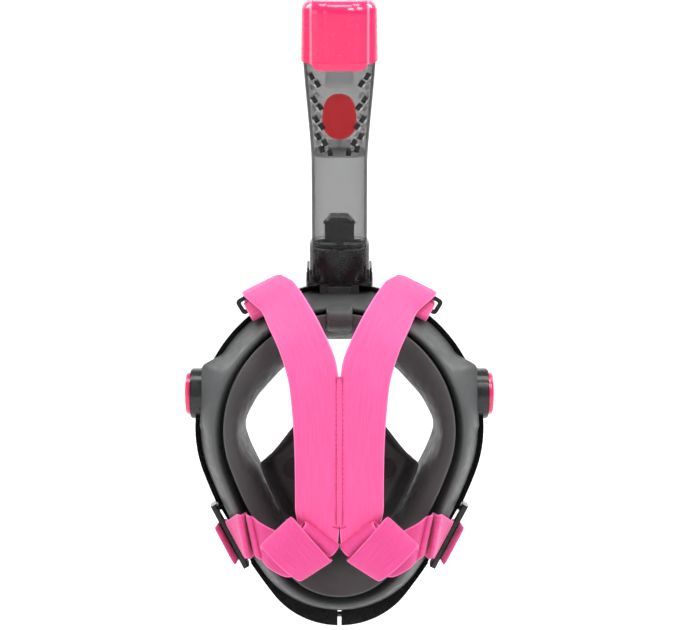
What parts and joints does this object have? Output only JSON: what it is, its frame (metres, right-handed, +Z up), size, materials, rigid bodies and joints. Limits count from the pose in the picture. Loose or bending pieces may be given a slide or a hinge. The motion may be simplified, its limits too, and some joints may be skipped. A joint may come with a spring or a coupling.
{
  "type": "full face snorkel mask",
  "caption": "Full face snorkel mask with a clear visor in a clamped rim, silicone face skirt, tilted snorkel with float valve and elastic head harness",
  "frame": {"origin": "on the mid-plane, on the face seal, at eye height", "axes": "+Z up along the wearer's face, -Y the way the wearer looks, +Y towards the head, +X the wearer's left"},
  "size_m": [0.218, 0.142, 0.4523],
  "materials": {
    "clear_lens": "clear gloss polycarbonate",
    "black_shell": "gloss",
    "dark_metal": "blackened",
    "silicone": "satin matte silicone",
    "valve_rubber": "satin",
    "smoke_clear": "smoky clear plastic",
    "pink_shell": "gloss",
    "red_float": "gloss",
    "pink_webbing": "woven elastic"
  },
  "bodies": {
    "root": {"buckle_pin_left": "dark_metal", "buckle_pin_right": "dark_metal", "centre_seam": "pink_webbing", "chin_nut": "dark_metal", "chin_screw": "dark_metal", "face_skirt": "silicone", "forehead_duct": "silicone", "inhale_seat_left": "black_shell", "inhale_seat_right": "black_shell", "nose_cup": "silicone", "port": "black_shell", "port_seal": "valve_rubber", "purge_cover": "black_shell", "purge_seat": "black_shell", "rim_left": "black_shell", "rim_right": "black_shell", "side_cover_left": "pink_shell", "side_cover_right": "pink_shell", "side_ring_left": "smoke_clear", "side_ring_right": "smoke_clear", "side_seat_left": "black_shell", "side_seat_right": "black_shell", "strap_bracket_left": "black_shell", "strap_bracket_right": "black_shell", "strap_lower_left": "pink_webbing", "strap_lower_right": "pink_webbing", "strap_upper_left": "pink_webbing", "strap_upper_right": "pink_webbing", "tower_pin": "dark_metal", "valve_tower": "black_shell", "visor": "clear_lens"},
    "snorkel": {"snorkel_tube": "smoke_clear", "float_floor": "smoke_clear", "airway_divider": "smoke_clear", "float_seat": "smoke_clear", "cap": "pink_shell"},
    "float_body": {"float": "red_float"},
    "latch": {"release_latch": "black_shell"},
    "tower_flap_body": {"tower_flap": "valve_rubber"},
    "purge_flap_body": {"purge_flap": "valve_rubber"},
    "side_flap_left_body": {"side_flap_left": "valve_rubber"},
    "inhale_flap_left_body": {"inhale_flap_left": "valve_rubber"},
    "buckle_left": {"strap_buckle_left": "black_shell", "strap_end_left": "pink_webbing"},
    "side_flap_right_body": {"side_flap_right": "valve_rubber"},
    "inhale_flap_right_body": {"inhale_flap_right": "valve_rubber"},
    "buckle_right": {"strap_buckle_right": "black_shell", "strap_end_right": "pink_webbing"}
  },
  "joints": [
    {"name": "snorkel_slide", "type": "slide", "parent": "root", "child": "snorkel", "axis": [0, 0.2588, 0.9659], "range_m": [0, 0.03]},
    {"name": "float_rise", "type": "slide", "parent": "snorkel", "child": "float_body", "axis": [0, 0.2588, 0.9659], "range_m": [0, 0.0095]},
    {"name": "latch_press", "type": "slide", "parent": "root", "child": "latch", "axis": [0, -1, 0], "range_m": [0, 0.0018], "stiffness_N_per_m": 800},
    {"name": "tower_flap_swing", "type": "hinge", "parent": "root", "child": "tower_flap_body", "pos_m": [0, -0.02439, 0.11871], "axis": [1, 0, 0], "range_deg": [0, 18]},
    {"name": "purge_flap_swing", "type": "hinge", "parent": "root", "child": "purge_flap_body", "pos_m": [0, -0.07291, -0.11257], "axis": [-1, 0, 0], "range_deg": [0, 15], "stiffness_Nm_per_rad": 0.002},
    {"name": "side_flap_left_swing", "type": "hinge", "parent": "root", "child": "side_flap_left_body", "pos_m": [0.0998, -0.018, 0.0088], "axis": [0, -1, 0], "range_deg": [0, 14], "stiffness_Nm_per_rad": 0.002},
    {"name": "inhale_flap_left_swing", "type": "hinge", "parent": "root", "child": "inhale_flap_left_body", "pos_m": [0.033, -0.049, -0.054], "axis": [1, 0, 0], "range_deg": [0, 25], "stiffness_Nm_per_rad": 0.002},
    {"name": "buckle_left_swing", "type": "hinge", "parent": "root", "child": "buckle_left", "pos_m": [0.079, -0.0315, -0.1062], "axis": [0.4633, 0, 0.8862], "range_deg": [-20, 2], "stiffness_Nm_per_rad": 0.05},
    {"name": "side_flap_right_swing", "type": "hinge", "parent": "root", "child": "side_flap_right_body", "pos_m": [-0.0998, -0.018, 0.0088], "axis": [0, 1, 0], "range_deg": [0, 14], "stiffness_Nm_per_rad": 0.002},
    {"name": "inhale_flap_right_swing", "type": "hinge", "parent": "root", "child": "inhale_flap_right_body", "pos_m": [-0.033, -0.049, -0.054], "axis": [1, 0, 0], "range_deg": [0, 25], "stiffness_Nm_per_rad": 0.002},
    {"name": "buckle_right_swing", "type": "hinge", "parent": "root", "child": "buckle_right", "pos_m": [-0.079, -0.0315, -0.1062], "axis": [-0.4633, 0, 0.8862], "range_deg": [-2, 20], "stiffness_Nm_per_rad": 0.05}
  ]
}
